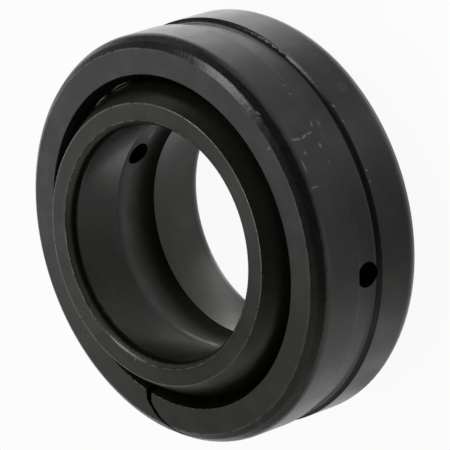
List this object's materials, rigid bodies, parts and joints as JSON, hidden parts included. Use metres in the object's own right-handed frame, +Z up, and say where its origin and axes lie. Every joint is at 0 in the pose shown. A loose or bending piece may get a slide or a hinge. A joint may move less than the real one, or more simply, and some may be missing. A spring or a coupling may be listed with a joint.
{
  "type": "radial spherical plain bearing",
  "caption": "Steel spherical plain bearing: a ball-shaped inner ring swivels in a fractured outer ring, with grease grooves and holes in both rings.",
  "frame": {"origin": "middle of the inner ring's lower end face, which the bearing stands on", "axes": "+Z up along the inner ring's bore axis, +X towards the side that the outer ring leans to"},
  "size_m": [0.0356, 0.035, 0.016],
  "materials": {
    "outer_ring_steel": "satin black oxide on ground bearing steel",
    "inner_ring_steel": "satin black oxide on ground bearing steel"
  },
  "bodies": {
    "inner": {"inner_ring": "inner_ring_steel"},
    "outer": {"outer_ring": "outer_ring_steel"}
  },
  "joints": [
    {"name": "swivel_tilt", "type": "hinge", "parent": "inner", "child": "outer", "pos_m": [0, 0, 0.008], "axis": [0, 1, 0], "range_deg": [-12.9, 5.1]}
  ]
}
